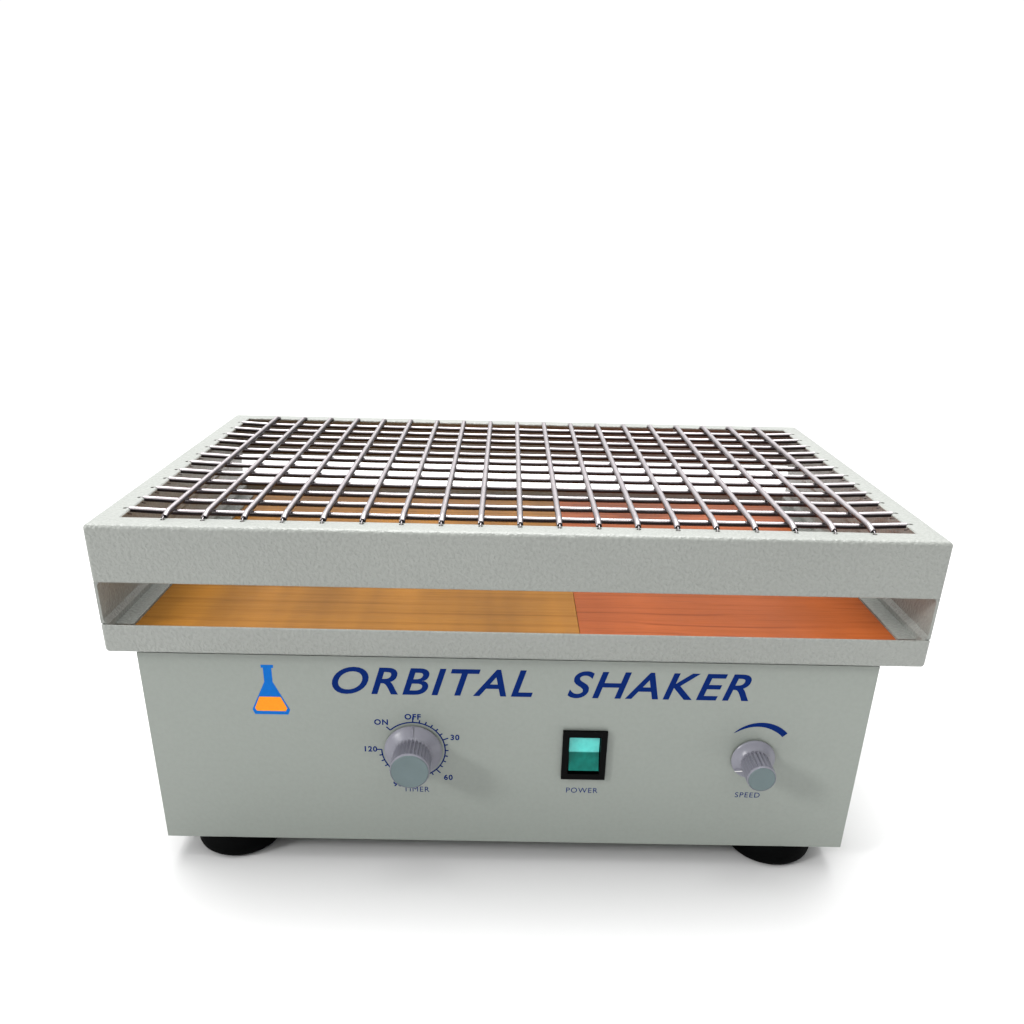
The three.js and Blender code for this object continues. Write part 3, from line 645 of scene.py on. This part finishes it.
def spring(name, along, across, offset, length, height_at):
    """One spring with both of its hooks, centred on the tray's middle plus an offset."""
    origin = Vector((tray_middle.x, tray_middle.y, rim_top)) + offset
    flip = np.dot(np.cross(across, (0, 0, 1)), along) < 0
    vertices, faces = coil(length, along, across, height_at)
    coil_mouths(vertices, faces, along, flip)
    parts = [(vertices, faces)]
    for side in (-1, 1):
        travel = side * length / 2
        end = Vector(along) * travel + Vector((0, 0, height_at(travel)))
        parts.append(hook(end, Vector(along) * side))
    vertices, faces = merged(parts)
    mesh = mesh_from(name, [v + origin for v in vertices], faces, 70)
    return new_object(name, mesh, spring_steel, "tray")


def spring_net():
    """The long springs run on top, the cross ones pass under them, and all ends meet the rim."""
    long_rise, long_end = SPRING_RADIUS, 0.3 * MM
    cross_drop, cross_end = -SPRING_RADIUS, -0.6 * MM
    climb = 9 * MM
    sag = 0.12 * MM
    half_long, half_cross = open_y + SPRING_OVERLAP, open_x + SPRING_OVERLAP
    outermost = (LONG_SPRINGS - 1) / 2 * SPRING_PITCH

    def long_height(travel):
        share = max(0.0, 1 - (half_long - abs(travel)) / climb)
        return long_rise + (long_end - long_rise) * min(1.0, share * 1.15) ** 2

    def cross_height(travel):
        if abs(travel) > outermost:
            share = min(1.0, (abs(travel) - outermost) / (open_x - outermost))
            return cross_drop + (cross_end - cross_drop) * share
        return cross_drop - sag * abs(math.sin(math.pi * travel / SPRING_PITCH))

    for index, x in enumerate(spread(LONG_SPRINGS, SPRING_PITCH), 1):
        spring(f"spring_long_{index:02d}", (0, 1, 0), (-1, 0, 0), Vector((x, 0, 0)),
                              2 * half_long, long_height)
    for index, y in enumerate(spread(CROSS_SPRINGS, SPRING_PITCH), 1):
        spring(f"spring_cross_{index:02d}", (1, 0, 0), (0, 1, 0), Vector((0, y, 0)),
                              2 * half_cross, cross_height)
    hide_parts("spring_grid")


# --------------------------------------------------------------------- cabinet
case_low, case_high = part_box("base_case")
panel_y = case_low.y


def rubber_feet():
    """Domed moulded feet with a counterbored screw hole."""
    counterbore, screw_hole, seat = 5.2 * MM, 2.7 * MM, 8 * MM
    edge = 5.5 * MM
    steps, segments = 8, 64
    for end in ("front", "rear"):
        for side in ("left", "right"):
            node = f"foot_{end}_{side}"
            low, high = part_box(node)
            radius = (high.x - low.x) / 2
            top = high.z - low.z
            dome = [(radius - edge - 3 * MM, 0)]
            for step in range(steps + 1):
                angle = math.radians(90 * step / steps - 90)
                dome.append((radius - edge + edge * math.cos(angle), edge + edge * math.sin(angle)))
            profile = [(counterbore, seat), (counterbore, 0.5 * MM), (counterbore + 0.6 * MM, 0),
                       *dome, (radius - 0.3 * MM, top - 1.5 * MM), (radius - 1.2 * MM, top),
                       (screw_hole, top), (screw_hole, seat)]
            vertices = []
            for r, z in profile:
                for step in range(segments):
                    angle = 2 * math.pi * step / segments
                    vertices.append(Vector((r * math.cos(angle), r * math.sin(angle), z)))
            faces = grid_faces(len(profile), segments, closed_rows=True)
            origin = Vector(((low.x + high.x) / 2, (low.y + high.y) / 2, low.z))
            mesh = mesh_from(node + "_rubber", [v + origin for v in vertices], faces)
            new_object(node + "_rubber", mesh, rubber, "base", [node])


# -------------------------------------------------------------------- controls
def facing_panel(x, z):
    """Places a thing built along +Z so that it stands out of the front panel at x, z."""
    return Matrix.Translation((x, panel_y, z)) @ Matrix.Rotation(math.radians(90), 4, "X")


def knob(name, node, body, flutes, pointer_turn, marked):
    """A fluted knob with a flared skirt and a raised pointer, the size of its CAD node."""
    low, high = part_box(node)
    cap_low, cap_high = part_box(node + "_cap")
    skirt = (high.x - low.x) / 2
    grip = (cap_high.x - cap_low.x) / 2 + 0.9 * MM
    flare = skirt * 0.46
    reach = panel_y - low.y
    smooth, grooved = 0.0, 1.5 * MM
    rows = [
        (skirt - 0.8 * MM, 0.8 * MM, smooth), (skirt, 1.3 * MM, smooth), (skirt, 2.0 * MM, smooth),
        (skirt - 0.5 * MM, 2.6 * MM, smooth), (skirt - 1.4 * MM, flare * 0.52, smooth),
        (grip + 1.0 * MM, flare * 0.78, smooth), (grip + 0.4 * MM, flare * 0.94, smooth),
        (grip + 0.2 * MM, flare, grooved), (grip, flare + 1.0 * MM, grooved),
        (grip + 0.25 * MM, reach - 2.6 * MM, grooved),
        (grip + 0.15 * MM, reach - 1.9 * MM, grooved),
        (grip + 0.05 * MM, reach - 1.5 * MM, smooth), (grip, reach - 0.6 * MM, smooth),
        (grip - 0.25 * MM, reach - 0.2 * MM, smooth), (grip - 0.45 * MM, reach - 0.2 * MM, smooth),
        (grip - 0.5 * MM, reach - 1.4 * MM, smooth),
    ]
    per_flute = 8
    around = flutes * per_flute
    matrix = facing_panel((low.x + high.x) / 2, (low.z + high.z) / 2)
    vertices = []
    for radius, height, groove in rows:
        for step in range(around):
            angle = 2 * math.pi * step / around
            hollow = max(0.0, math.sin(math.pi * ((step / per_flute) % 1))) ** 1.1
            size = radius - groove * hollow
            vertices.append((size * math.cos(angle), size * math.sin(angle), height))
    faces = grid_faces(len(rows), around)
    faces.append(tuple(reversed(range(around))))
    faces.append(tuple(range(len(vertices) - around, len(vertices))))
    parts = [(vertices, faces), pointer(skirt, grip, pointer_turn)]
    vertices, faces = merged(parts)
    mesh = mesh_from(name, [matrix @ Vector(v) for v in vertices], faces, 38)
    new_object(name, mesh, grey_plastic, body, [node])
    if marked:
        line = pointer(skirt, grip, pointer_turn, 0.35, 0.12 * MM)
        mesh = mesh_from(name + "_line", [matrix @ Vector(v) for v in line[0]], line[1])
        new_object(name + "_line", mesh, white_ink, body)


def pointer(skirt, grip, turn, share=1.0, lift=0.0):
    """A wedge on the skirt that points at the dial. turn is in degrees clockwise from the top."""
    half = 0.9 * MM * share
    stations = [(grip + 0.2 * MM, 6.2 * MM, half), (skirt - 2.0 * MM, 4.6 * MM, half),
                (skirt - 0.2 * MM, 3.1 * MM, half * 0.8)]
    vertices = []
    for out, height, base in stations:
        bottom, top = height - 2.4 * MM + lift, height + 0.5 * MM + lift
        for x, z in ((-base, bottom), (base, bottom), (base * 0.7, top), (-base * 0.7, top)):
            vertices.append(Matrix.Rotation(-math.radians(turn), 3, "Z") @ Vector((x, out, z)))
    faces = [tuple(reversed(face)) for face in grid_faces(len(stations), 4)]
    faces += [(0, 1, 2, 3), (11, 10, 9, 8)]
    return vertices, faces


def knob_cap(name, node, body):
    """A slightly dished cap with a rounded edge."""
    low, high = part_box(node)
    radius = (high.x - low.x) / 2 + 0.35 * MM
    matrix = facing_panel((low.x + high.x) / 2, (low.z + high.z) / 2)
    front, back = panel_y - low.y, panel_y - high.y
    profile = [(0, back), (radius, back), (radius, front - 0.3 * MM), (radius - 0.3 * MM, front),
               (radius * 0.8, front - 0.06 * MM), (radius * 0.4, front - 0.22 * MM),
               (0, front - 0.28 * MM)]
    vertices, faces = turned(profile, 64, matrix)
    new_object(name, mesh_from(name, vertices, faces), cap_plastic, body, [node])


# ---------------------------------------------------------------------- prints
def panel_point(x, z, depth):
    """A point that stands out from the front panel by a depth."""
    return Vector((x, panel_y - depth, z))


def plate(outline):
    """A thin printed shape on the front panel from its outline, a list of (x, z)."""
    count = len(outline)
    sunk = -0.01 * MM
    vertices = [panel_point(x, z, sunk) for x, z in outline]
    vertices += [panel_point(x, z, PRINT_THICKNESS) for x, z in outline]
    faces = [tuple(range(count, 2 * count)), tuple(reversed(range(count)))]
    for step in range(count):
        following = (step + 1) % count
        faces.append((step, following, count + following, count + step))
    return vertices, faces


def print_piece(name, parts, colour):
    """One printed piece on the front panel from its parts."""
    vertices, faces = merged(parts)
    new_object(name, mesh_from(name, vertices, faces), colour, "base")


def around_point(at, angle, distance):
    """The (x, z) at a distance from a point, at an angle in degrees clockwise from the top."""
    turn = math.radians(angle)
    return at[0] + distance * math.sin(turn), at[1] + distance * math.cos(turn)


def band(at, inner_at, outer, start, end, steps):
    """Part of a ring round a point. inner_at gives its inner radius at each share of the way."""
    far, near = [], []
    for step in range(steps + 1):
        share = step / steps
        angle = start + (end - start) * share
        far.append(around_point(at, angle, outer))
        near.append(around_point(at, angle, inner_at(share)))
    return [plate([far[i], near[i], near[i + 1], far[i + 1]]) for i in range(steps)]


def tick(at, inner, outer, angle, width):
    """A straight mark of a scale, between two distances from its middle."""
    turn = math.radians(angle)
    half = Vector((math.cos(turn), -math.sin(turn))) * width / 2
    start, end = (Vector(around_point(at, angle, distance)) for distance in (inner, outer))
    return plate([tuple(corner) for corner in (start + half, start - half, end - half, end + half)])


def lettering(name, text, middle, height, material, slant=0.0, spacing=1.0, weight=0.0, width=1.0):
    """Flat letters on the front panel, centred on (x, z) = middle. height is that of a capital."""
    size_per_height = 1.38
    curve = bpy.data.curves.new(name, "FONT")
    curve.body = text
    curve.align_x = "CENTER"
    curve.align_y = "CENTER"
    curve.size = height * size_per_height
    curve.shear = slant
    curve.space_character = spacing
    curve.offset = weight
    curve.extrude = PRINT_THICKNESS / 2
    curve.resolution_u = 6
    source = bpy.data.objects.new(name + "_curve", curve)
    bpy.context.scene.collection.objects.link(source)
    mesh = evaluated_mesh(source)
    bpy.data.objects.remove(source)
    mesh.transform(Matrix.Translation(panel_point(*middle, PRINT_THICKNESS / 2))
                   @ Matrix.Rotation(math.radians(90), 4, "X") @ Matrix.Diagonal((width, 1, 1, 1)))
    mesh.name = name
    return new_object(name, mesh, material, "base")


def dial(at):
    """The timer scale: minutes to 120 clockwise from OFF, and a held position ON before it."""
    radius = 17.8 * MM
    line = 0.75 * MM
    minutes = 120
    degrees_per_minute = 2.25
    held = -45
    parts = band(at, lambda share: radius, radius + line, held, minutes * degrees_per_minute, 84)
    for minute in range(0, minutes + 1, 5):
        reach = 3.0 * MM if minute % 30 == 0 else 1.5 * MM
        angle = minute * degrees_per_minute
        parts.append(tick(at, radius + line / 2, radius + line + reach, angle, line))
    parts.append(tick(at, radius + line / 2, radius + 3.4 * MM, held, line))
    print_piece("print_timer_scale", parts, blue_ink)
    labels = {"OFF": (0, 21.6), "30": (70, 25.2), "60": (133, 27.0), "90": (202.5, 25.4),
              "120": (270, 24.8), "ON": (held, 25.2)}
    for text, (angle, distance) in labels.items():
        middle = around_point(at, angle, distance * MM)
        lettering(f"print_timer_{text.lower()}", text, middle, 3.5 * MM, blue_ink, weight=0.14 * MM,
                  spacing=1.15)


def speed_crescent(at):
    """A crescent over the speed knob that swells from slow to fast."""
    radius = 20.4 * MM
    thin_end, swell = 0.1 * MM, 3.5 * MM
    middle = (at[0] + 2.6 * MM, at[1] + 3.1 * MM)

    def inner_at(share):
        return radius - thin_end - swell * min(1.0, 1.2 * share ** 0.65)

    print_piece("print_speed_crescent", band(middle, inner_at, radius, -49, 48, 40), blue_ink)


def emblem(middle):
    """A plain flask with coloured liquid. The right half of each outline is in shares of height."""
    height = 31 * MM
    flask = [(0.11, 0.5), (0.11, 0.44), (0.075, 0.44), (0.075, 0.16), (0.34, -0.4), (0.30, -0.5)]
    liquid = [(0.19, -0.14), (0.29, -0.37), (0.26, -0.43)]
    for name, half, colour, lift in (("print_emblem", flask, sky_ink, 0.0),
                                     ("print_emblem_liquid", liquid, orange_ink, 0.05 * MM)):
        outline = [(middle[0] + x * height, middle[1] + z * height)
                   for x, z in [(-x, z) for x, z in half] + half[::-1]]
        vertices, faces = plate(outline)
        print_piece(name, [([v - Vector((0, lift, 0)) for v in vertices], faces)], colour)


def panel_prints():
    """Everything that is printed on the front panel."""
    timer = centre("timer_knob")
    speed = centre("speed_knob")
    switch = centre("switch_body")
    dial((timer.x, timer.z))
    speed_crescent((speed.x, speed.z))
    caption_z = case_low.z + 36.5 * MM
    for word, x, z in (("TIMER", timer.x + 1 * MM, caption_z),
                       ("POWER", switch.x, caption_z + 1.2 * MM),
                       ("SPEED", speed.x + 0.5 * MM, caption_z)):
        lettering(f"print_{word.lower()}_caption", word, (x, z), 3.6 * MM, blue_ink, spacing=1.15)
    middle_x = (case_low.x + case_high.x) / 2
    title_middle = (middle_x + 16 * MM, case_high.z - 15.6 * MM)
    lettering("print_title", "ORBITAL  SHAKER", title_middle, 16.8 * MM, blue_ink, slant=0.28,
              spacing=1.12, weight=0.35 * MM, width=1.12)
    emblem((middle_x - 133 * MM, case_high.z - 21.5 * MM))


# ----------------------------------------------------------------------- stage
def camera():
    """A viewpoint in front of the panel, a little left of its middle, looking down on the tray."""
    eye = Vector((-8.05, -569.5, 354.66)) * MM
    turn = Euler([math.radians(angle) for angle in (64.439, -1.271, -0.081)])
    lens = bpy.data.cameras.new("camera")
    lens.lens = 31.8
    lens.sensor_width = 36
    lens.shift_y = 0.1361
    lens.clip_start = 0.02
    viewer = bpy.data.objects.new("camera", lens)
    viewer.matrix_world = Matrix.LocRotScale(eye, turn, None)
    bpy.context.scene.collection.objects.link(viewer)
    bpy.context.scene.camera = viewer


def floor():
    """A wide pale sheet of paper under the machine."""
    reach = 6.0
    vertices = [(-reach, -reach, 0), (reach, -reach, 0), (reach, reach, 0), (-reach, reach, 0)]
    sheet = bpy.data.objects.new("floor", mesh_from("floor", vertices, [(0, 1, 2, 3)]))
    sheet.data.materials.append(Shader("floor_paper", (0.6, 0.6, 0.6), 0.9).material)
    bpy.context.scene.collection.objects.link(sheet)


def sun(name, strength, position, width):
    """A distant lamp that shines from a position towards the origin; its width is in degrees."""
    data = bpy.data.lights.new(name, "SUN")
    data.energy = strength
    data.angle = math.radians(width)
    lamp = bpy.data.objects.new(name, data)
    lamp.location = position
    lamp.rotation_euler = (-Vector(position)).to_track_quat("-Z", "Y").to_euler()
    bpy.context.scene.collection.objects.link(lamp)


def sky():
    """A dome that is brightest overhead and behind the machine, and dim in front of it."""
    world = bpy.data.worlds.new("studio")
    bpy.context.scene.world = world
    world.use_nodes = True
    nodes, links = world.node_tree.nodes, world.node_tree.links
    nodes["Background"].inputs["Color"].default_value = (1, 1, 1, 1)
    place = nodes.new("ShaderNodeTexCoord")
    axes = nodes.new("ShaderNodeSeparateXYZ")
    links.new(place.outputs["Generated"], axes.inputs["Vector"])
    total = nodes.new("ShaderNodeMath")
    total.operation = "ADD"
    slopes = (("Y", -0.5, 0.6, 0.26, 1.05), ("Z", 0.2, 1.0, 0.0, 1.2))
    for term, (axis, low, high, start, end) in zip(total.inputs, slopes):
        slope = nodes.new("ShaderNodeMapRange")
        slope.inputs["From Min"].default_value = low
        slope.inputs["From Max"].default_value = high
        slope.inputs["To Min"].default_value = start
        slope.inputs["To Max"].default_value = end
        links.new(axes.outputs[axis], slope.inputs["Value"])
        links.new(slope.outputs["Result"], term)
    links.new(total.outputs["Value"], nodes["Background"].inputs["Strength"])


def studio():
    """A soft key light from the left, a wide one from overhead, and the sky."""
    sky()
    sun("key", 1.6, (-0.8, -0.46, 0.46), width=12)
    sun("top", 3.8, (-0.05, 0.32, 1.0), width=50)
    bpy.context.scene.view_settings.view_transform = "Standard"


finish_cad_nodes()
grid_frame_shell()
tray_pan_shell()
spring_net()
rubber_feet()
knob("timer_knob_fluted", "timer_knob", "timer_dial", flutes=32, pointer_turn=0, marked=False)
knob_cap("timer_knob_face", "timer_knob_cap", "timer_dial")
knob("speed_knob_fluted", "speed_knob", "speed_dial", flutes=22, pointer_turn=-125, marked=True)
knob_cap("speed_knob_face", "speed_knob_cap", "speed_dial")
panel_prints()
camera()
floor()
studio()
